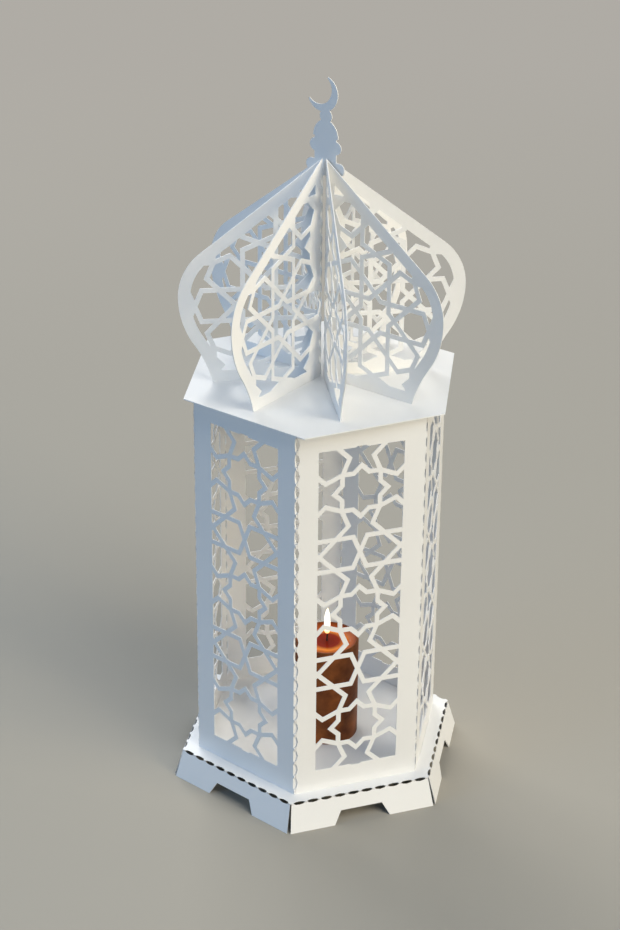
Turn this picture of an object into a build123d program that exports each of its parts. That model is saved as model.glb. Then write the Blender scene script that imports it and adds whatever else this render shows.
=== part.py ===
"""Flat-pack fanous lantern: a pierced hexagonal body on a folded tray, under a lift-off roof
that carries a dome of pierced fins and a crescent. All sizes are in millimetres, +Z is up and
the origin is the middle of the footprint on the floor."""
import os
from math import acos, asin, atan2, cos, degrees, hypot, radians, sin, sqrt, tan

from build123d import *

# Sheet, fit of its tabs in their slots, and straps of the pierced pattern
sheet = 1.0
tab_fit = 0.3
strap = 5.0
smallest_hole = 40.0

# Body: one strip folded into a hexagonal tube, closed by a flap at the front corner
panel_width = 140.0
body_height = 430.0
window_margin = 24.0
panel_pattern = 140.0
body_tab_width = 70.0
body_tab_depth = 7.0
seam_flap_width = 18.0
seam_flap_setback = 6.0
seam_gap = 0.4
seam_edge = 1.6

# Base tray: a floor with six skirts folded down and flared outwards
base_height = 32.0
tray_ledge = 16.0
skirt_flare = 9.0
skirt_corner_gap = 2.2
notch_foot_width = 64.0
notch_top_width = 47.0
notch_height = 16.5

# Roof plate, set down on the body with a slight turn, and the dome of fins on it, each fin half an
# onion drawn from the axis outwards
roof_overhang = 12.0
lid_turn = 4.0
fin_pairs = 4
fins_on_roof_turn = -7.5
fold_offset = 2.5
dome_radius = 149.0
dome_belly_height = 95.0
belly_radius = 95.0
waist_lean = 33.7
waist_radius = 131.0
shoulder_radius = 59.0
dome_height = 239.0
fin_rim = 12.5
fin_foot_band = 9.0
fin_inner_band = 13.5
fin_petal_reach = 5.5
fin_pattern = 132.0
fin_pattern_height = 84.5
fin_tab_length = 28.0
fin_tab_starts = (11.0, 69.0)
fin_tab_depth = 6.0

# Crescent finial, heights measured from the roof plate
finial_foot = 218.0
foot_lobe_reach = 17.0
foot_lobe_radius = 6.6
foot_lobe_height = 227.0
stem_half_width = 13.3
mid_lobe_reach = 12.6
mid_lobe_radius = 6.6
mid_lobe_height = 248.5
bulb_half_width = 15.2
bulb_height = 258.0
bulb_shoulder = (12.5, 268.0)
throat_half_width = 5.0
throat_height = 275.0
ball_radius = 7.4
ball_height = 279.5
crescent_radius = 18.6
crescent_centre = (4.4, 302.0)
bite_radius = 15.9
bite_centre = (9.0, 306.3)
horn_radius = 0.75

# Candle standing a little off the middle of the tray
candle_radius = 35.0
candle_height = 118.0
candle_rim = 4.0
candle_pool_depth = 5.0
candle_place = (10.0, -5.0)
wick_radius = 0.9
wick_height = 12.0
wick_seat = 3.0
wick_fit = 0.05
wick_sides = 8

# Sizes that follow from the driving ones
sides = 6
body_apothem = panel_width * cos(radians(30))
tray_apothem = body_apothem + tray_ledge
roof_apothem = body_apothem + roof_overhang
body_top = base_height + body_height
roof_top = body_top + sheet
skirt_run = hypot(base_height, skirt_flare) + sheet
skirt_tilt = degrees(atan2(skirt_flare, base_height))
crown_turn = lid_turn + fins_on_roof_turn
fin_half_angle = 90 / fin_pairs
fold_reach = fold_offset * cos(radians(fin_half_angle))


def side_of_hexagon(apothem):
    return 2 * apothem * tan(radians(30))


def inset(outline, distance):
    """Corners of an anticlockwise outline moved inwards by the distance, with sharp corners."""
    lines = []
    for (x0, y0), (x1, y1) in zip(outline, outline[1:] + outline[:1]):
        length = hypot(x1 - x0, y1 - y0)
        normal = ((y0 - y1) / length, (x1 - x0) / length)
        lines.append((normal, normal[0] * x0 + normal[1] * y0 + distance))
    corners = []
    for ((ax, ay), a), ((bx, by), b) in zip(lines[-1:] + lines[:-1], lines):
        cross = ax * by - ay * bx
        corners.append(((a * by - b * ay) / cross, (ax * b - bx * a) / cross))
    return corners


def turned(outline, angle, place=(0, 0)):
    """An outline turned about the origin and moved to a place."""
    c, s = cos(radians(angle)), sin(radians(angle))
    return [(place[0] + c * x - s * y, place[1] + s * x + c * y) for x, y in outline]


def crossed_squares(half_side):
    """Outline of an eight-pointed star: tips on the axes and diagonals, a notch between each pair."""
    tip = half_side * sqrt(2)
    notch = half_side / cos(radians(22.5))
    points = []
    for k in range(8):
        points += turned([(tip, 0)], 45 * k) + turned([(notch, 0)], 45 * k + 22.5)
    return points


def strapwork(pitch, columns, rows):
    """Openings of an eightfold strapwork with straps of one width, rosettes on a square grid.

    A rosette is a star with eight petals round it. A larger star stands between four rosettes,
    and a dart fills the space between two rosettes and two of the larger stars.
    """
    half = pitch / 2
    core = half / (2 * sqrt(2) + 1 / cos(radians(22.5)))
    star = half * (1 - sqrt(0.5))
    tip = core * sqrt(2)
    shoulder = half - core * tan(radians(22.5))
    far = half - star
    petal = [(tip, 0), (core + tip, -core), (shoulder, -core)]
    petal += [(half, 0), (shoulder, core), (core + tip, core)]
    dart = [(half, 0), (shoulder, core), (core + tip, core)]
    dart += turned([(shoulder, -core)], 45) + [(far, far)]
    dart += [(half - star * tan(radians(22.5)), far), (half, half - star * sqrt(2))]
    dart = [(pitch - x, y) for x, y in dart[1:-1]] + dart[::-1]
    cells = []
    for i in columns:
        for j in rows:
            rosette = (i * pitch, j * pitch)
            cells.append(turned(crossed_squares(core), 0, rosette))
            cells.append(turned(crossed_squares(star), 0, (rosette[0] + half, rosette[1] + half)))
            for k in range(8):
                cells.append(turned(petal, 45 * k, rosette))
            for k in range(4):
                cells.append(turned(dart, 90 * k, rosette))
    return [inset(cell, strap / 2) for cell in cells]


def openings_in(window, cells, place):
    """Sketch of the cells that show inside a window, without slivers."""
    with BuildSketch() as whole:
        with Locations(place):
            shapes = [Polygon(*cell, align=None, mode=Mode.PRIVATE) for cell in cells]
        add(shapes)
        add(window, mode=Mode.INTERSECT)
    with BuildSketch() as kept:
        add([face for face in whole.faces() if face.area > smallest_hole])
    return kept.sketch


def side_plane(k, apothem, height, tilt=0):
    """Plane on side k of a hexagon, its normal tilted up from level: local X runs round the body."""
    a, t = radians(60 * k - 60), radians(tilt)
    normal = (cos(a) * cos(t), sin(a) * cos(t), sin(t))
    return Plane((apothem * cos(a), apothem * sin(a), height), x_dir=(-sin(a), cos(a), 0), z_dir=normal)


def hexagon(apothem, turn=0, mode=Mode.ADD):
    return RegularPolygon(apothem, sides, major_radius=False, rotation=30 + turn, mode=mode)


# Base tray, its skirts trimmed level at the floor
with BuildPart() as base_tray:
    with BuildSketch(Plane.XY.offset(base_height)):
        hexagon(tray_apothem)
    extrude(amount=-sheet)
    with BuildSketch(*[side_plane(k, tray_apothem, base_height, skirt_tilt) for k in range(sides)]):
        top = (side_of_hexagon(tray_apothem) - skirt_corner_gap) / 2
        foot = top + skirt_run * sin(radians(skirt_tilt)) * tan(radians(30))
        Polygon((top, 0), (-top, 0), (-foot, -skirt_run), (foot, -skirt_run), align=None)
        with Locations((0, -skirt_run)):
            top, foot = notch_top_width / 2, notch_foot_width / 2
            notch = [(foot, 0), (top, notch_height), (-top, notch_height), (-foot, 0)]
            Polygon(*notch, align=None, mode=Mode.SUBTRACT)
    extrude(amount=-sheet)
    split(bisect_by=Plane.XY, keep=Keep.TOP)
    with BuildSketch(Plane.XY.offset(base_height)):
        with PolarLocations(body_apothem - sheet / 2, sides, start_angle=-60):
            Rectangle(sheet + 2 * tab_fit, body_tab_width + 2 * tab_fit)
    extrude(amount=-sheet, mode=Mode.SUBTRACT)
base_tray.part.label = "base_tray"

# Body
with BuildSketch() as panel_window:
    Rectangle(panel_width - 2 * window_margin, body_height - 2 * window_margin)
panel_cells = strapwork(panel_pattern, (0, 1), (-1, 0, 1, 2))
panel_openings = openings_in(panel_window.sketch, panel_cells, (-panel_pattern / 2, -panel_pattern / 2))
body_middle = base_height + body_height / 2

with BuildPart() as body_wrap:
    with BuildSketch(Plane.XY.offset(base_height)):
        hexagon(body_apothem)
        hexagon(body_apothem - sheet, mode=Mode.SUBTRACT)
    extrude(amount=body_height)
    with BuildSketch(*[side_plane(k, body_apothem, body_middle) for k in range(sides)]):
        add(panel_openings)
    extrude(amount=-2 * sheet, mode=Mode.SUBTRACT)
    with BuildSketch(*[side_plane(k, body_apothem, base_height) for k in range(sides)]):
        with Locations((0, -body_tab_depth / 2)):
            Rectangle(body_tab_width, body_tab_depth)
    extrude(amount=-sheet)
    with BuildSketch(side_plane(0, body_apothem, body_middle)):
        with Locations((seam_edge - panel_width / 2, 0)):
            Rectangle(seam_gap, body_height, align=(Align.MIN, Align.CENTER))
    extrude(amount=-sheet - seam_gap / 2, mode=Mode.SUBTRACT)
    with BuildSketch(side_plane(0, body_apothem - sheet - seam_gap, body_middle)):
        with Locations((-panel_width / 2 - sheet / 2, 0)):
            flap_height = body_height - 2 * seam_flap_setback
            Rectangle(seam_flap_width, flap_height, align=(Align.MIN, Align.CENTER))
    extrude(amount=-sheet)
body_wrap.part.label = "body_wrap"

# Roof plate
def fin_frame(pair, hand):
    """Where a fin's outer face passes the axis, and the direction in which the fin runs out."""
    middle = radians(360 / fin_pairs * (pair + 0.5) + crown_turn)
    a = middle + hand * radians(fin_half_angle)
    out = Vector(cos(a), sin(a), 0)
    fold = Vector(fold_offset * cos(middle), fold_offset * sin(middle), roof_top)
    return fold - out * fold_reach, out


with BuildPart() as roof_plate:
    with BuildSketch(Plane.XY.offset(body_top)):
        hexagon(roof_apothem, lid_turn)
    extrude(amount=sheet)
    for pair in range(fin_pairs):
        for hand in (1, -1):
            start, out = fin_frame(pair, hand)
            with BuildSketch(Plane(start, x_dir=out, z_dir=(0, 0, 1))):
                for tab in fin_tab_starts:
                    with Locations((tab + fin_tab_length / 2, -hand * sheet / 2)):
                        Rectangle(fin_tab_length + 2 * tab_fit, sheet + 2 * tab_fit)
            extrude(amount=-sheet, mode=Mode.SUBTRACT)
roof_plate.part.label = "roof_plate"

# Fins
belly = (dome_radius - belly_radius, dome_belly_height)
waist = (belly[0] + (belly_radius + waist_radius) * cos(radians(waist_lean)),
         belly[1] - (belly_radius + waist_radius) * sin(radians(waist_lean)))
foot_lean = degrees(asin(-waist[1] / waist_radius))
shoulder = (dome_radius - shoulder_radius, dome_belly_height)
rise = dome_height - shoulder[1]
flank = degrees(atan2(rise, -shoulder[0]) - acos(shoulder_radius / hypot(shoulder[0], rise)))

with BuildSketch() as fin_outline:
    with BuildLine():
        ends = CenterArc(waist, waist_radius, 180 - foot_lean, foot_lean - waist_lean)
        CenterArc(belly, belly_radius, -waist_lean, waist_lean)
        top_arc = CenterArc(shoulder, shoulder_radius, 0, flank)
        Polyline(top_arc @ 1, (0, dome_height), (0, 0), ends @ 0)
    make_face()

with BuildSketch() as fin_window:
    add(fin_outline.sketch)
    offset(amount=-fin_rim, kind=Kind.INTERSECTION, mode=Mode.REPLACE)
    with Locations((fin_inner_band, fin_foot_band)):
        Rectangle(dome_radius, dome_height, align=(Align.MIN, Align.MIN), mode=Mode.INTERSECT)
    with Locations((fin_petal_reach, fin_pattern_height)):
        Rectangle(fin_inner_band, 2 * fin_inner_band, align=(Align.MIN, Align.CENTER))

fin_cells = strapwork(fin_pattern, (0, 1), (-1, 0, 1))
fin_openings = openings_in(fin_window.sketch, fin_cells, (fin_pattern / 2, fin_pattern_height))


def bisector(pair):
    """Upright plane through a fold, with its normal towards the left-hand fin."""
    middle = radians(360 / fin_pairs * (pair + 0.5) + crown_turn)
    return Plane((0, 0, roof_top), x_dir=(cos(middle), sin(middle), 0), z_dir=(-sin(middle), cos(middle), 0))


def fin_plane(pair, hand):
    """Plane on the outer face of a fin: local X runs out from the axis, local Y is up."""
    start, out = fin_frame(pair, hand)
    return Plane(start, x_dir=out, z_dir=out.cross(Vector(0, 0, 1)))


def fin_pair(pair):
    """Two fins folded from one sheet, with tabs below."""
    with BuildPart() as folded:
        with BuildSketch(fin_plane(pair, 1)):
            add(fin_outline.sketch)
            for tab in fin_tab_starts:
                with Locations((tab, 0)):
                    Rectangle(fin_tab_length, fin_tab_depth, align=(Align.MIN, Align.MAX))
            add(fin_openings, mode=Mode.SUBTRACT)
        extrude(amount=sheet)
        split(bisect_by=bisector(pair), keep=Keep.TOP)
        mirror(about=bisector(pair))
    return folded.part


fin_pair_back_right = fin_pair(0)
fin_pair_front_left = fin_pair(2)
fin_pair_front_right = fin_pair(3)
fin_pair_back_right.label = "fin_pair_back_right"
fin_pair_front_left.label = "fin_pair_front_left"
fin_pair_front_right.label = "fin_pair_front_right"

# The fourth pair carries the crescent, and its other fin ends below the crescent's foot
with BuildSketch() as finial:
    foot_top = foot_lobe_height + foot_lobe_radius - finial_foot
    Rectangle(2 * foot_lobe_reach, foot_top, align=(Align.CENTER, Align.MIN))
    Rectangle(2 * stem_half_width, bulb_height - finial_foot, align=(Align.CENTER, Align.MIN))
    for side in (1, -1):
        with Locations((side * foot_lobe_reach, foot_lobe_height - finial_foot)):
            Circle(foot_lobe_radius)
        with Locations((side * mid_lobe_reach, mid_lobe_height - finial_foot)):
            Circle(mid_lobe_radius)
    with BuildLine():
        low, high = bulb_height - finial_foot, throat_height - finial_foot
        bend, bend_height = bulb_shoulder[0], bulb_shoulder[1] - finial_foot
        ThreePointArc((bulb_half_width, low), (bend, bend_height), (throat_half_width, high))
        Line((throat_half_width, high), (-throat_half_width, high))
        ThreePointArc((-throat_half_width, high), (-bend, bend_height), (-bulb_half_width, low))
        Line((-bulb_half_width, low), (bulb_half_width, low))
    make_face()
    with Locations((0, ball_height - finial_foot)):
        Circle(ball_radius)

with BuildSketch() as crescent:
    with Locations(crescent_centre):
        Circle(crescent_radius)
    with Locations(bite_centre):
        Circle(bite_radius, mode=Mode.SUBTRACT)
    fillet(crescent.vertices(), horn_radius)

with BuildPart() as fin_pair_back_left:
    add(fin_pair(1))
    with BuildSketch(fin_plane(1, -1)):
        with Locations((0, finial_foot)):
            Rectangle(dome_radius, dome_height, align=(Align.MIN, Align.MIN))
    extrude(amount=-sheet, mode=Mode.SUBTRACT)
    with BuildSketch(fin_plane(1, 1)):
        with Locations((0, finial_foot)):
            add(finial.sketch)
        add(crescent.sketch)
    extrude(amount=sheet)
fin_pair_back_left.part.label = "fin_pair_back_left"


# Candle, with a pool of molten wax round its wick
pool_height = candle_height - candle_pool_depth
with BuildPart(Plane((*candle_place, base_height))) as candle:
    up = (Align.CENTER, Align.CENTER, Align.MIN)
    Cylinder(candle_radius, candle_height, align=up)
    with Locations((0, 0, pool_height)):
        Cylinder(candle_radius - candle_rim, candle_height, align=up, mode=Mode.SUBTRACT)
    with Locations((0, 0, pool_height - wick_seat)):
        Cylinder(wick_radius + wick_fit, candle_height, align=up, mode=Mode.SUBTRACT)
candle.part.label = "candle"

with BuildPart() as wick:
    with BuildSketch(Plane((*candle_place, base_height + pool_height - wick_seat))):
        RegularPolygon(wick_radius, wick_sides)
    extrude(amount=wick_seat + wick_height)
wick.part.label = "wick"

os.makedirs("parts", exist_ok=True)
export_step(base_tray.part, "parts/base_tray.step")
export_step(body_wrap.part, "parts/body_wrap.step")
export_step(roof_plate.part, "parts/roof_plate.step")
export_step(fin_pair_front_left, "parts/fin_pair_front_left.step")
export_step(fin_pair_front_right, "parts/fin_pair_front_right.step")
export_step(fin_pair_back_right, "parts/fin_pair_back_right.step")
export_step(fin_pair_back_left.part, "parts/fin_pair_back_left.step")
export_step(candle.part, "parts/candle.step")
export_step(wick.part, "parts/wick.step")
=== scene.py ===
from math import cos, radians, sin, sqrt

import bpy
from mathutils import Matrix, Vector


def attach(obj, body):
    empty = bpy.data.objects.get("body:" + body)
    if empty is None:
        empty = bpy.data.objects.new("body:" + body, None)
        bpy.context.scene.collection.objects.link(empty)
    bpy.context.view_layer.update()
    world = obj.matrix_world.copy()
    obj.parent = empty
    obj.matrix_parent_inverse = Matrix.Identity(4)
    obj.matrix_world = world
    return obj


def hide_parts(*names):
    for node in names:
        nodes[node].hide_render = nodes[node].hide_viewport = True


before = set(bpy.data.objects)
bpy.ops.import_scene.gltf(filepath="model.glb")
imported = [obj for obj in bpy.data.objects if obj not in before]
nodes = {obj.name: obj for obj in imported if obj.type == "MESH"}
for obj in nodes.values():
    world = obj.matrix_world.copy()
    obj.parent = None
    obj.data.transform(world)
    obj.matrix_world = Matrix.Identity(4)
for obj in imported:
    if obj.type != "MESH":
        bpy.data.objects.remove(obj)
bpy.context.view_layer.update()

MM = 0.001
UP = Vector((0, 0, 1))
SIXTEENTH = 22.5  # of a full turn, in degrees; the strapwork is eightfold

# Sizes in metres and angles in degrees, as in the solids
SHEET = 1.0 * MM
STRAP = 5.0 * MM
PANEL = 140.0 * MM
BODY_APOTHEM = PANEL * cos(radians(30))
BODY_HEIGHT = 430.0 * MM
WINDOW_HALF = 46.0 * MM
TRAY_TOP = 32.0 * MM
TRAY_APOTHEM = BODY_APOTHEM + 16.0 * MM
SKIRT_TILT = 15.7
ROOF_TOP = TRAY_TOP + BODY_HEIGHT + SHEET
CROWN_TURN = -3.5
FOLD_OFFSET = 2.5 * MM
FIN_HALF_ANGLE = SIXTEENTH
FIN_PATTERN = 132.0 * MM
FIN_ROSETTE = (66.0 * MM, 84.5 * MM)
CANDLE = Vector((10.0, -5.0, 32.0)) * MM
CANDLE_RADIUS = 35.0 * MM
CANDLE_HEIGHT = 118.0 * MM
CANDLE_TOP = CANDLE.z + CANDLE_HEIGHT
POOL_DEPTH = 5.0 * MM

# Perforations that the folds are bent along
SLOT_LENGTH = 11.5 * MM
SLOT_WIDTH = 2.4 * MM
FOLD_PITCH = 17.5 * MM
BODY_FOLD_SLOTS = 24
FIN_FOLD_SLOTS = 12
FIN_FOLD_START = 10 * MM
TRAY_SLOT_LENGTH = 13.2 * MM
TRAY_SLOT_WIDTH = 3.8 * MM
TRAY_PITCH = 15.4 * MM
TRAY_FOLD_SLOTS = 10

# Closing corner of the body: slots in the edge of one panel, and in the other panel slots that gape
# from a height above the middle of the body
SEAM_SLOT_LENGTH = 15.0 * MM
SEAM_EDGE_SLOT = (8.0 * MM, 1.25 * SHEET)  # width and depth
SEAM_GAPING_SLOT = (3.6 * MM, 7 * SHEET)
SEAM_GAPES_FROM = -45.0 * MM

# Open mitres between the skirts of the tray
MITRE_RADIUS = 163.0 * MM
MITRE_DEPTH = 13.0 * MM
MITRE_TOP = 1.6 * MM
MITRE_FOOT = 4.0 * MM

# Small distances that keep the meshes sound
SAME_POINT = 0.02 * MM
OFF_LINE = 0.05 * MM  # keeps a punch's points and sides off the edges of the sheet

# Candle, with its rings and steps in millimetres: inset and drop of a ring; lean, rise and size of a step
DISH_RIM = 2.6 * MM
DISH_WALL = 1.8 * MM
DISH_RINGS = ((2.5, 1.0), (5.0, 1.3), (6.0, 0.7), (8.0, 0.2))
POOL_RADIUS = 25.6 * MM
POOL_DROP = 3.8 * MM
POOL_RINGS = ((0.9, 0.25), (1.6, 0.1))
WICK_RADIUS = 0.9 * MM
WICK_STEM = 7.0 * MM
WICK_STEPS = ((0.1, 2.4, 1.08), (0.3, 2.2, 0.98), (0.6, 1.8, 1.1), (0.5, 1.2, 0.7))
FLAME_LIFT = 5.5 * MM  # from the candle's top to the foot of the flame
FLAME_FOOT = 1.2 * MM
FLAME_STEPS = ((0, 0.8, 1.8), (0, 1.8, 1.35), (0, 3.4, 1.14), (0, 6.0, 1.0), (0, 6.0, 0.95), (0, 5.0, 0.84),
               (0.1, 4.0, 0.68), (0.2, 3.0, 0.5), (0.2, 2.4, 0.3))

# Studio
BLACK = (0.0, 0.0, 0.0)
PALE = (0.42, 0.4, 0.365)
SKY_LIGHT = (0.09, 0.15, 0.23)
FLOOR_SIZE = 60
LIT_FLOOR = (0.8, 2.8)  # metres over which the floor goes over from lit to evenly pale
LAMP_AIM = 0.4
LAMPS = {  # turn and rise in degrees, distance and size in metres, watts, colour
    "warm_right": (-25, 20, 6.5, 4.3, 308, (1.0, 0.87, 0.63)),
    "white_back": (125, 38, 6.5, 4.7, 288, (1.0, 0.985, 0.95)),
    "high_front": (-48, 54, 6.5, 3.6, 146, (0.97, 0.98, 0.98)),
    "cool_left": (-140, 14, 4.0, 2.4, 36, (0.32, 0.6, 1.0)),
}


class Wire:
    """An output in a finish's node tree. Arithmetic on it adds Math nodes to the same tree."""

    def __init__(self, finish, out):
        self.finish = finish
        self.out = out

    def math(self, operation, *values):
        return self.finish.node("Math", {"operation": operation}, dict(enumerate(values)))

    def __add__(self, other):
        return self.math("ADD", self, other)

    def __sub__(self, other):
        return self.math("SUBTRACT", self, other)

    def __mul__(self, other):
        return self.math("MULTIPLY", self, other)

    def __pow__(self, other):
        return self.math("POWER", self, other)

    def __gt__(self, other):
        return self.math("GREATER_THAN", self, other)

    def __abs__(self):
        return self.math("ABSOLUTE", self)

    def __rsub__(self, other):
        return self.math("SUBTRACT", other, self)

    # The order of these makes no difference
    __radd__ = __add__
    __rmul__ = __mul__


class Finish:
    """A material whose shader is fed by nodes."""

    def __init__(self, name, **fixed):
        self.material = bpy.data.materials.new(name)
        self.material.use_nodes = True
        self.tree = self.material.node_tree
        self.shader = self.tree.nodes["Principled BSDF"]
        for key, value in fixed.items():
            self.shader.inputs[key.replace("_", " ")].default_value = value
        self.place = self.node("TexCoord", out="Object")

    def node(self, kind, settings=None, sockets=None, out=0):
        """Adds a node, sets it up, fills or links its sockets, and gives one of its outputs."""
        made = self.tree.nodes.new("ShaderNode" + kind)
        for key, value in (settings or {}).items():
            if key == "stops":
                for _ in value[2:]:
                    made.color_ramp.elements.new(1.0)
                for element, (at, colour) in zip(made.color_ramp.elements, value):
                    element.position = at
                    element.color = (*colour, 1.0)
            else:
                setattr(made, key, value)
        for key, value in (sockets or {}).items():
            self.plug(made.inputs[key], value)
        return Wire(self, made.outputs[out])

    def plug(self, socket, value):
        """Links a wire to a socket, or sets the socket to a plain value."""
        if isinstance(value, Wire):
            self.tree.links.new(value.out, socket)
        elif socket.type == "RGBA" and len(value) == 3:
            socket.default_value = (*value, 1.0)
        else:
            socket.default_value = value

    def feed(self, **sockets):
        """Fills sockets of the shader by name."""
        for key, value in sockets.items():
            self.plug(self.shader.inputs[key.replace("_", " ")], value)

    def noise(self, scale, detail=2.0, roughness=0.5):
        sockets = {"Vector": self.place, "Scale": scale, "Detail": detail, "Roughness": roughness}
        return self.node("TexNoise", None, sockets)

    def ramp(self, value, *stops):
        return self.node("ValToRGB", {"stops": stops}, {"Fac": value})

    def between(self, value, low, high):
        """0 at low and below, 1 at high and above."""
        return self.node("MapRange", None, {"Value": value, "From Min": low, "From Max": high})

    def mixed(self, share, first, second):
        """The first colour where the share is 0, the second where it is 1."""
        return self.node("Mix", {"data_type": "RGBA"}, {0: share, 6: first, 7: second}, out=2)

    def along(self, axis):
        return self.node("SeparateXYZ", None, {0: self.place}, out=axis)

    def reach(self, centre=(0, 0)):
        """Distance from an upright axis."""
        x, y = self.along("X") - centre[0], self.along("Y") - centre[1]
        return (x * x + y * y) ** 0.5

    def bumped(self, height, strength, distance):
        sockets = {"Height": height, "Strength": strength, "Distance": distance}
        return self.node("Bump", None, sockets)

    def seen(self):
        """1 where the camera looks, directly or in gloss or glass, and 0 for all other light."""
        rays = ("Is Camera Ray", "Is Glossy Ray", "Is Transmission Ray")
        return sum(self.node("LightPath", out=ray) for ray in rays)


class Sky(Finish):
    """The world round the studio, fed by nodes in the same way."""

    def __init__(self, name):
        self.world = bpy.data.worlds.new(name)
        self.world.use_nodes = True
        self.tree = self.world.node_tree
        self.shader = self.tree.nodes["Background"]


def only(piece):
    """Selects one piece and makes it active."""
    bpy.ops.object.select_all(action="DESELECT")
    piece.select_set(True)
    bpy.context.view_layer.objects.active = piece


def pick(piece, kind, wanted):
    """Leaves only the wanted vertices or faces of a piece selected, in edit mode."""
    bpy.ops.object.mode_set(mode="OBJECT")
    only(piece)
    bpy.ops.object.mode_set(mode="EDIT")
    bpy.ops.mesh.select_mode(type=kind)
    bpy.ops.mesh.select_all(action="DESELECT")
    bpy.ops.object.mode_set(mode="OBJECT")
    for part in piece.data.vertices if kind == "VERT" else piece.data.polygons:
        part.select = wanted(part)
    bpy.ops.object.mode_set(mode="EDIT")


def at_rest(name):
    """Names the new piece and moves its place into its mesh."""
    piece = bpy.context.object
    piece.name = name
    bpy.ops.object.transform_apply(location=True, rotation=True, scale=True)
    return piece


def facing_out(piece):
    """Closes the work on a mesh: all its faces look outwards."""
    bpy.ops.mesh.select_all(action="SELECT")
    bpy.ops.mesh.normals_make_consistent(inside=False)
    bpy.ops.object.mode_set(mode="OBJECT")
    return piece


def sheet_from(node, name):
    """The folded sheet of a CAD node as a piece of its own, its loose triangles merged."""
    piece = bpy.data.objects.new(name, nodes[node].data.copy())
    bpy.context.scene.collection.objects.link(piece)
    only(piece)
    bpy.ops.mesh.customdata_custom_splitnormals_clear()
    bpy.ops.object.mode_set(mode="EDIT")
    bpy.ops.mesh.select_all(action="SELECT")
    bpy.ops.mesh.remove_doubles(threshold=SAME_POINT)
    bpy.ops.object.mode_set(mode="OBJECT")
    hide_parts(node)
    return piece


def drawn_up(punch, depth):
    """Draws an outline that lies the depth below the XY plane up to the same depth above it."""
    bpy.ops.mesh.select_all(action="SELECT")
    bpy.ops.mesh.extrude_region_move(TRANSFORM_OT_translate={"value": (0, 0, 2 * depth)})
    return facing_out(punch)


def slot_punch(length, width, depth):
    """A pointed punch along X, reaching the depth to either side of the XY plane."""
    bpy.ops.object.select_all(action="DESELECT")
    bpy.ops.mesh.primitive_circle_add(vertices=8, radius=length / 2, fill_type="NGON",
                                      location=(0, 0, -depth))
    punch = at_rest("slot_punch")
    bpy.ops.object.mode_set(mode="EDIT")
    bpy.ops.mesh.select_all(action="SELECT")
    bpy.ops.transform.resize(value=(1, width / length, 1), center_override=(0, 0, -depth))
    return drawn_up(punch, depth)


def kite_punch(pattern, depth):
    """A punch for the small kite between two petals of a rosette, its tip along X."""
    half = radians(SIXTEENTH)
    core = pattern / 2 / (2 * sqrt(2) + 1 / cos(half))
    side = core * sqrt(2)
    inner = (core + STRAP / 2) / cos(half)
    middle = side * cos(half) + STRAP / 2 * (cos(half) - sin(half))
    wide = side * sin(half) - STRAP / 2 * (cos(half) + sin(half))
    tip = 2 * side * cos(half) - STRAP / 2 / sin(half)
    bpy.ops.object.select_all(action="DESELECT")
    bpy.ops.mesh.primitive_circle_add(vertices=4, radius=wide, fill_type="NGON",
                                      location=(middle, 0, -depth))
    punch = at_rest("kite_punch")
    for end, place in ((middle + wide, tip), (middle - wide, inner)):
        pick(punch, "VERT", lambda vertex: abs(vertex.co.x - end) < SAME_POINT)
        bpy.ops.transform.translate(value=(place - end, 0, 0))
    return drawn_up(punch, depth)


def set_out(punch, places):
    """Copies of a punch at all the places, joined; the first one goes."""
    twins = []
    for place in places:
        twin = punch.copy()
        twin.data = punch.data.copy()
        twin.data.transform(place)
        bpy.context.scene.collection.objects.link(twin)
        twins.append(twin)
    bpy.data.objects.remove(punch)
    only(twins[0])
    for twin in twins:
        twin.select_set(True)
    bpy.ops.object.join()
    return bpy.context.object


def punch_through(piece, punches):
    """Cuts the punches out of a sheet."""
    cut = piece.modifiers.new("punched", "BOOLEAN")
    cut.operation = "DIFFERENCE"
    cut.solver = "EXACT"
    cut.object = punches
    only(piece)
    bpy.ops.object.modifier_apply(modifier=cut.name)
    bpy.data.objects.remove(punches)


def axes_at(origin, across, up, out):
    """Placing matrix whose local X, Y and Z run across, up and out."""
    turn = Matrix((across, up, out)).transposed().to_4x4()
    return Matrix.Translation(origin) @ turn


def turned(angle, axis="Z"):
    """Turning matrix for an angle in degrees."""
    return Matrix.Rotation(radians(angle), 4, axis)


def row_along(count, pitch):
    """Places of evenly spaced things on both sides of a middle."""
    return [(i - (count - 1) / 2) * pitch for i in range(count)]


def outwards(angle):
    """Level direction at an angle in degrees from the X axis."""
    return Vector((cos(radians(angle)), sin(radians(angle)), 0))


def upright_slot(centre, out):
    """Place of a slot that stands upright and is punched along the direction out."""
    aside = out.cross(UP)
    return axes_at(centre + aside * OFF_LINE, UP, aside, out)


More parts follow.
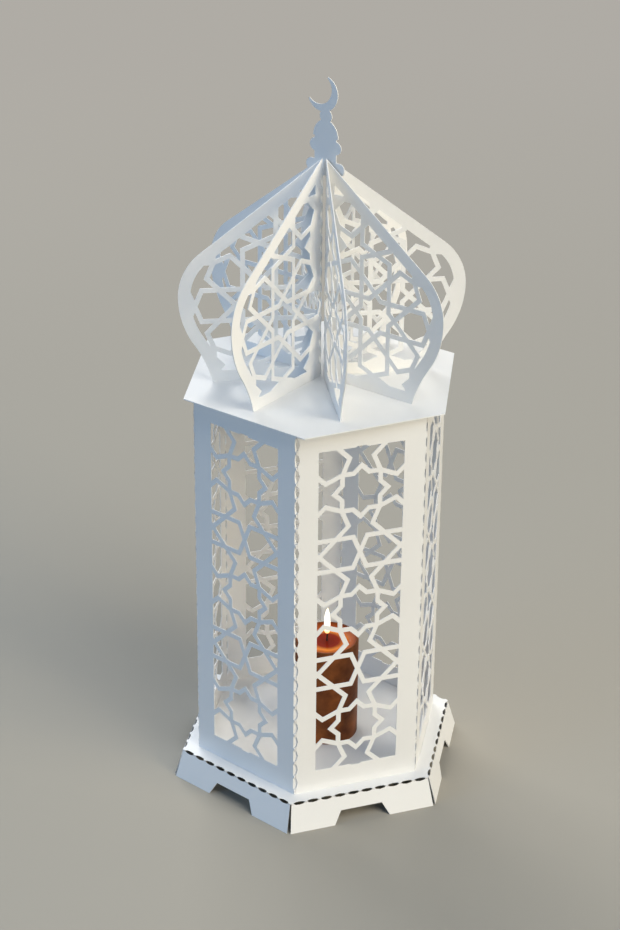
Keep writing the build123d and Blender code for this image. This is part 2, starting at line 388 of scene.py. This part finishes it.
def body_sheet():
    """The wrap with kites in its windows, perforated corners, and wide slots in its closing corner."""
    body = sheet_from("body_wrap", "body_wrap_sheet")
    middle = UP * (TRAY_TOP + BODY_HEIGHT / 2)
    kite = kite_punch(PANEL, 2 * SHEET)
    kite.data.transform(Matrix.Translation((PANEL / 2, 0, 0)) @ turned(7 * SIXTEENTH))
    only(kite)
    bpy.ops.object.mode_set(mode="EDIT")
    bpy.ops.mesh.select_all(action="SELECT")
    bpy.ops.mesh.bisect(plane_co=(WINDOW_HALF - OFF_LINE, 0, 0), plane_no=(1, 0, 0), use_fill=True,
                        clear_outer=True)
    facing_out(kite)
    places = []
    for side in range(6):
        out = outwards(60 * side)
        for height in (-PANEL / 2, PANEL / 2):
            panel = axes_at(out * BODY_APOTHEM + middle + UP * height, UP.cross(out), UP, out)
            places += [panel, panel @ turned(180), panel @ turned(180, "X"), panel @ turned(180, "Y")]
    punch_through(body, set_out(kite, places))

    heights = row_along(BODY_FOLD_SLOTS, FOLD_PITCH)
    places = []
    for corner in range(1, 6):
        out = outwards(60 * corner - 90)
        places += [upright_slot(out * PANEL + middle + UP * height, out) for height in heights]
    punch_through(body, set_out(slot_punch(SLOT_LENGTH, SLOT_WIDTH, 3 * SHEET), places))

    corner = outwards(-90) * PANEL + middle
    gaping = [height for height in heights if height > SEAM_GAPES_FROM]
    for angle, slot, rows in ((-60, SEAM_EDGE_SLOT, heights), (-120, SEAM_GAPING_SLOT, gaping)):
        out = outwards(angle)
        places = [upright_slot(corner + UP * height, out) for height in rows]
        punch_through(body, set_out(slot_punch(SEAM_SLOT_LENGTH, *slot), places))
    return body


def mitre_punch():
    """A punch along Z for the open mitre between two skirts, wider at the foot."""
    top, foot = TRAY_TOP - 1.1 * SHEET, -1.0 * MM
    bpy.ops.object.select_all(action="DESELECT")
    bpy.ops.mesh.primitive_plane_add(size=top - foot, location=(0, (top + foot) / 2, -MITRE_DEPTH))
    punch = at_rest("mitre_punch")
    for low, width in ((True, MITRE_FOOT), (False, MITRE_TOP)):
        pick(punch, "VERT", lambda vertex: (vertex.co.y < TRAY_TOP / 4) == low)
        bpy.ops.transform.resize(value=(width / (top - foot), 1, 1), center_override=(0, 0, -MITRE_DEPTH))
    return drawn_up(punch, MITRE_DEPTH)


def tray_sheet():
    """The tray with perforations along the fold of each skirt, and open mitres between the skirts."""
    tray = sheet_from("base_tray", "base_tray_sheet")
    tilt = radians((90 + SKIRT_TILT) / 2)
    places = []
    for side in range(6):
        level = outwards(60 * side)
        out = level * cos(tilt) + UP * sin(tilt)
        across = UP.cross(level)
        aside = out.cross(across)
        fold = level * TRAY_APOTHEM + UP * TRAY_TOP + aside * OFF_LINE
        places += [axes_at(fold + across * shift, across, aside, out)
                   for shift in row_along(TRAY_FOLD_SLOTS, TRAY_PITCH)]
    punch_through(tray, set_out(slot_punch(TRAY_SLOT_LENGTH, TRAY_SLOT_WIDTH, 3 * SHEET), places))
    places = []
    for corner in range(6):
        out = outwards(60 * corner - 90)
        places.append(axes_at(out * MITRE_RADIUS, outwards(60 * corner), UP, out))
    punch_through(tray, set_out(mitre_punch(), places))
    return tray


def fin_sheet(node, pair):
    """A folded pair of fins with kites round each rosette and a perforated fold."""
    fins = sheet_from(node, node + "_sheet")
    middle = 45 + 90 * pair + CROWN_TURN
    fold = outwards(middle) * FOLD_OFFSET + UP * ROOF_TOP
    places = []
    for hand in (1, -1):
        run = outwards(middle + hand * FIN_HALF_ANGLE)
        start = fold - run * (FOLD_OFFSET * cos(radians(FIN_HALF_ANGLE)))
        rosette = axes_at(start + run * FIN_ROSETTE[0] + UP * FIN_ROSETTE[1], run, UP, run.cross(UP))
        places += [rosette @ turned((2 * k + 1) * SIXTEENTH) for k in range(8)]
    punch_through(fins, set_out(kite_punch(FIN_PATTERN, 2 * SHEET), places))
    inwards = -outwards(middle)
    places = [upright_slot(fold + UP * (FIN_FOLD_START + (i + 0.5) * FOLD_PITCH), inwards)
              for i in range(FIN_FOLD_SLOTS)]
    punch_through(fins, set_out(slot_punch(SLOT_LENGTH, SLOT_WIDTH, 3.5 * SHEET), places))
    return fins


def smooth_curves(piece, angle=35):
    """Smooth shading over the curved edges, sharp at the folds and rims."""
    only(piece)
    bpy.ops.object.shade_smooth_by_angle(angle=radians(angle))
    return piece


def sink(rings):
    """Insets the picked face ring by ring, each a little lower than the last."""
    for width, drop in rings:
        bpy.ops.mesh.inset(thickness=width * MM)
        bpy.ops.transform.translate(value=(0, 0, -drop * MM))
    bpy.ops.object.mode_set(mode="OBJECT")


def wax_pillar():
    """The candle: a thin rim round a dished top, with rounded edges."""
    bpy.ops.object.select_all(action="DESELECT")
    bpy.ops.mesh.primitive_cylinder_add(vertices=72, radius=CANDLE_RADIUS, depth=CANDLE_HEIGHT,
                                        location=CANDLE + UP * CANDLE_HEIGHT / 2)
    candle = at_rest("candle_wax")
    pick(candle, "FACE", lambda face: face.normal.z > 0.9)
    bpy.ops.mesh.inset(thickness=DISH_RIM)
    bpy.ops.mesh.extrude_region_move(TRANSFORM_OT_translate={"value": (0, 0, -DISH_WALL)})
    sink(DISH_RINGS)
    soften = candle.modifiers.new("soft_edges", "BEVEL")
    soften.width = 1.1 * MM
    soften.segments = 4
    soften.limit_method = "ANGLE"
    soften.angle_limit = radians(50)
    bpy.ops.object.modifier_apply(modifier=soften.name)
    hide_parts("candle")
    return smooth_curves(candle, 40)


def molten_pool():
    """Liquid wax in the dish, climbing a little at its edge."""
    level, depth = CANDLE_TOP - POOL_DROP, 1.0 * MM
    bpy.ops.object.select_all(action="DESELECT")
    bpy.ops.mesh.primitive_cylinder_add(vertices=64, radius=POOL_RADIUS, depth=depth,
                                        location=(CANDLE.x, CANDLE.y, level - depth / 2))
    pool = at_rest("molten_wax")
    pick(pool, "FACE", lambda face: face.normal.z > 0.9)
    sink(POOL_RINGS)
    return smooth_curves(pool, 50)


def grow(piece, steps):
    """Draws the picked end of a piece out in steps of lean, rise and size."""
    centre = Vector((CANDLE.x, CANDLE.y, max(vertex.co.z for vertex in piece.data.vertices)))
    for lean, rise, size in steps:
        step = Vector((lean, 0, rise)) * MM
        centre += step
        bpy.ops.mesh.extrude_region_move(TRANSFORM_OT_translate={"value": step})
        bpy.ops.transform.resize(value=(size, size, 1), center_override=centre)


def burnt_wick():
    """Braided wick, leaning at its charred end."""
    seat = CANDLE_TOP - POOL_DEPTH - 3.0 * MM
    bpy.ops.object.select_all(action="DESELECT")
    bpy.ops.mesh.primitive_cylinder_add(vertices=16, radius=WICK_RADIUS, depth=WICK_STEM,
                                        location=(CANDLE.x, CANDLE.y, seat + WICK_STEM / 2))
    wick = at_rest("burnt_wick")
    pick(wick, "FACE", lambda face: face.normal.z > 0.9)
    grow(wick, WICK_STEPS)
    facing_out(wick)
    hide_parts("wick")
    return smooth_curves(wick, 50)


def candle_flame():
    """A tall still flame: a rounded foot, an even column and a drawn-out tip."""
    foot = CANDLE + UP * (CANDLE_HEIGHT + FLAME_LIFT)
    bpy.ops.object.select_all(action="DESELECT")
    bpy.ops.mesh.primitive_circle_add(vertices=32, radius=FLAME_FOOT, fill_type="NGON", location=foot)
    flame = at_rest("candle_flame")
    pick(flame, "FACE", lambda face: True)
    grow(flame, FLAME_STEPS)
    bpy.ops.mesh.merge(type="CENTER")
    facing_out(flame)
    return smooth_curves(flame, 80)


def powder_coat(name, crease=None):
    """White satin powder coat: fine orange peel, faint marks, thin grey where a fold has cracked it."""
    coat = Finish(name, Specular_IOR_Level=0.45)
    patches = coat.noise(9.0, 3.0)
    specks = coat.noise(140.0, 4.0, 0.6)
    colour = coat.mixed(coat.between(patches, 0.35, 0.7), (0.9, 0.9, 0.892), (0.87, 0.868, 0.858))
    colour = coat.mixed(coat.between(specks, 0.68, 0.8) * 0.12, colour, (0.62, 0.6, 0.57))
    rough = coat.noise(60.0, 3.0) * 0.16 + 0.3
    if crease:
        worn = coat.between(coat.noise(420.0, 3.0) + crease(coat) * 0.5, 0.88, 1.02)
        colour = coat.mixed(worn * 0.5, colour, (0.4, 0.38, 0.36))
        rough = rough + worn * 0.15
    peel = coat.noise(1300.0, 1.0)
    coat.feed(Base_Color=colour, Roughness=rough, Normal=coat.bumped(peel, 0.12, 0.0002))
    return coat.material


def near_body_folds(coat):
    """1 on the upright folds of the body, falling to 0 beside them."""
    return coat.between(coat.reach(), PANEL - 1.4 * MM, PANEL)


def near_tray_folds(coat):
    """1 on the folds between the tray's floor and its skirts, falling to 0 beside them."""
    x, y = coat.along("X"), coat.along("Y")
    widest = abs(x)
    for angle in (60, 120):
        widest = widest.math("MAXIMUM", widest, abs(x * cos(radians(angle)) + y * sin(radians(angle))))
    at_edge = coat.between(widest, TRAY_APOTHEM - 1.2 * MM, TRAY_APOTHEM)
    return at_edge * (coat.along("Z") > TRAY_TOP - 1.5 * MM)


def painted_flame_light(wax):
    """Painted light of the flame in the wax, given as emission: deep red round the wick, a golden ring, and
    dull by the rim.
    """
    ring = wax.between(wax.reach(CANDLE) + wax.noise(70.0, 3.0) * 0.004, 5 * MM, 36 * MM)
    return wax.ramp(ring, (0.0, (0.08, 0.003, 0.001)), (0.36, (0.15, 0.008, 0.002)),
                    (0.56, (0.7, 0.23, 0.035)), (0.72, (0.34, 0.08, 0.01)), (1.0, (0.07, 0.012, 0.002)))


def brown_wax():
    """Dark coppery wax, with painted flame light glowing only inside its dish."""
    wax = Finish("brown_wax", Specular_IOR_Level=0.15, Emission_Strength=1.0)
    cloud = wax.noise(38.0, 4.0, 0.55)
    inside = 1 - wax.between(wax.reach(CANDLE), 32.2 * MM, 32.8 * MM)
    dish = inside * wax.between(wax.along("Z"), CANDLE_TOP - 8 * MM, CANDLE_TOP - 6 * MM)
    colour = wax.mixed(wax.between(cloud, 0.3, 0.7), (0.075, 0.02, 0.007), (0.32, 0.095, 0.022))
    wax.feed(Base_Color=wax.mixed(dish, colour, (0.16, 0.025, 0.005)),
             Roughness=wax.noise(25.0, 3.0) * 0.2 + 0.4,
             # Painted flame light: emission colour inside the dish stands in for light from the flame
             Emission_Color=wax.mixed(dish, BLACK, painted_flame_light(wax)),
             Normal=wax.bumped(wax.noise(210.0, 4.0, 0.6), 0.25, 0.0006))
    return wax.material


def hot_wax():
    """Clear red liquid over the dish, with painted flame light given as emission."""
    wax = Finish("hot_wax", Roughness=0.06, Specular_IOR_Level=0.12, Emission_Strength=1.0)
    wax.feed(Base_Color=wax.mixed(wax.noise(60.0, 3.0), (0.1, 0.008, 0.002), (0.16, 0.02, 0.004)),
             # Painted flame light: emission colour stands in for light from the flame
             Emission_Color=painted_flame_light(wax),
             Normal=wax.bumped(wax.noise(90.0, 2.0), 0.15, 0.0008))
    return wax.material


def charred_cotton():
    """Black braid with an ember at its end."""
    char = Finish("charred_cotton", Roughness=0.95, Emission_Strength=2.0)
    braid = char.node("TexWave", {"bands_direction": "DIAGONAL"}, {"Vector": char.place, "Scale": 260.0})
    ember = char.between(char.along("Z"), CANDLE_TOP + 5 * MM, CANDLE_TOP + 7 * MM)
    char.feed(Base_Color=char.mixed(braid, (0.02, 0.014, 0.01), (0.075, 0.05, 0.035)),
              Emission_Color=char.mixed(ember, BLACK, (1.0, 0.25, 0.03)),
              Normal=char.bumped(braid, 0.6, 0.0003))
    return char.material


def burning_gas():
    """White-hot flame, orange at its foot and yellow at its tip."""
    fire = Finish("burning_gas", Base_Color=(*BLACK, 1.0), Specular_IOR_Level=0.0, Emission_Strength=2.5)
    foot = CANDLE_TOP + FLAME_LIFT
    rise = fire.between(fire.along("Z"), foot, foot + 33 * MM)
    fire.feed(Emission_Color=fire.ramp(rise, (0.0, (0.5, 0.16, 0.03)), (0.1, (0.95, 0.6, 0.25)),
                                       (0.25, (1.0, 0.95, 0.82)), (0.8, (1.0, 0.93, 0.75)),
                                       (1.0, (1.0, 0.8, 0.45))))
    return fire.material


def dress(piece, material, body=None):
    """Gives a piece its finish, and a new piece the body that it moves with."""
    piece.data.materials.clear()
    piece.data.materials.append(material)
    if body:
        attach(piece, body)


def studio_floor():
    """A large pale floor with a slight mottle, lit near the lantern and evenly pale far off."""
    bpy.ops.object.select_all(action="DESELECT")
    bpy.ops.mesh.primitive_plane_add(size=FLOOR_SIZE)
    floor = bpy.context.object
    floor.name = "studio_floor"
    pale = Finish("pale_floor", Roughness=0.8, Specular_IOR_Level=0.0, Emission_Strength=1.0)
    far_off = pale.between(pale.reach(), *LIT_FLOOR)
    mottle = pale.mixed(pale.noise(1.5, 2.0), (0.4, 0.372, 0.32), (0.42, 0.392, 0.34))
    pale.feed(Base_Color=pale.mixed(far_off, mottle, (0.01, 0.01, 0.01)),
              Emission_Color=pale.mixed(pale.seen() * far_off, BLACK, PALE))
    floor.data.materials.append(pale.material)


def soft_lamp(name, turn, rise, distance, size, power, colour):
    """A round soft lamp aimed at the middle of the lantern from a direction and height in degrees."""
    data = bpy.data.lights.new(name, "AREA")
    data.shape = "DISK"
    data.size = size
    data.energy = power
    data.color = colour
    away = outwards(turn) * cos(radians(rise)) + UP * sin(radians(rise))
    lamp = bpy.data.objects.new(name, data)
    lamp.location = UP * LAMP_AIM + away * distance
    lamp.rotation_euler = away.to_track_quat("Z", "Y").to_euler()
    lamp.visible_camera = False
    bpy.context.scene.collection.objects.link(lamp)


def studio_light():
    """Warm light from the right, white from behind and from high in front, cool from the left."""
    for name, settings in LAMPS.items():
        soft_lamp(name, *settings)
    sky = Sky("studio_sky")
    sky.feed(Color=sky.mixed(sky.seen(), SKY_LIGHT, PALE))
    bpy.context.scene.world = sky.world


def photo_camera():
    """Camera at the photograph's place, with its slight roll."""
    azimuth, elevation, roll = radians(10.487), radians(26.479), radians(0.551)
    back = Vector((sin(azimuth) * cos(elevation), -cos(azimuth) * cos(elevation), sin(elevation)))
    target, distance = Vector((-0.0115, -0.0020, 0.3585)), 2.3485
    right = UP.cross(back).normalized()
    above = back.cross(right)
    level = right * cos(roll) + above * sin(roll)
    plumb = above * cos(roll) - right * sin(roll)
    data = bpy.data.cameras.new("photo_camera")
    data.sensor_fit = "AUTO"
    data.sensor_width = 36.0
    data.lens = 85.53
    data.clip_end = 200.0
    camera = bpy.data.objects.new("photo_camera", data)
    camera.matrix_world = axes_at(target + back * distance, level, plumb, back)
    bpy.context.scene.collection.objects.link(camera)
    bpy.context.scene.camera = camera


dress(smooth_curves(body_sheet()), powder_coat("body_coat", near_body_folds), "lantern")
dress(smooth_curves(tray_sheet()), powder_coat("tray_coat", near_tray_folds), "lantern")
plain_coat = powder_coat("lid_coat")
for pair, node in enumerate(("fin_pair_back_right", "fin_pair_back_left", "fin_pair_front_left",
                             "fin_pair_front_right")):
    dress(smooth_curves(fin_sheet(node, pair)), plain_coat, "lid")
dress(nodes["roof_plate"], plain_coat)
dress(wax_pillar(), brown_wax(), "candle")
dress(molten_pool(), hot_wax(), "candle")
dress(burnt_wick(), charred_cotton(), "candle")
dress(candle_flame(), burning_gas(), "candle")

studio_floor()
studio_light()
photo_camera()
bpy.context.scene.view_settings.view_transform = "Standard"

bpy.context.view_layer.update()
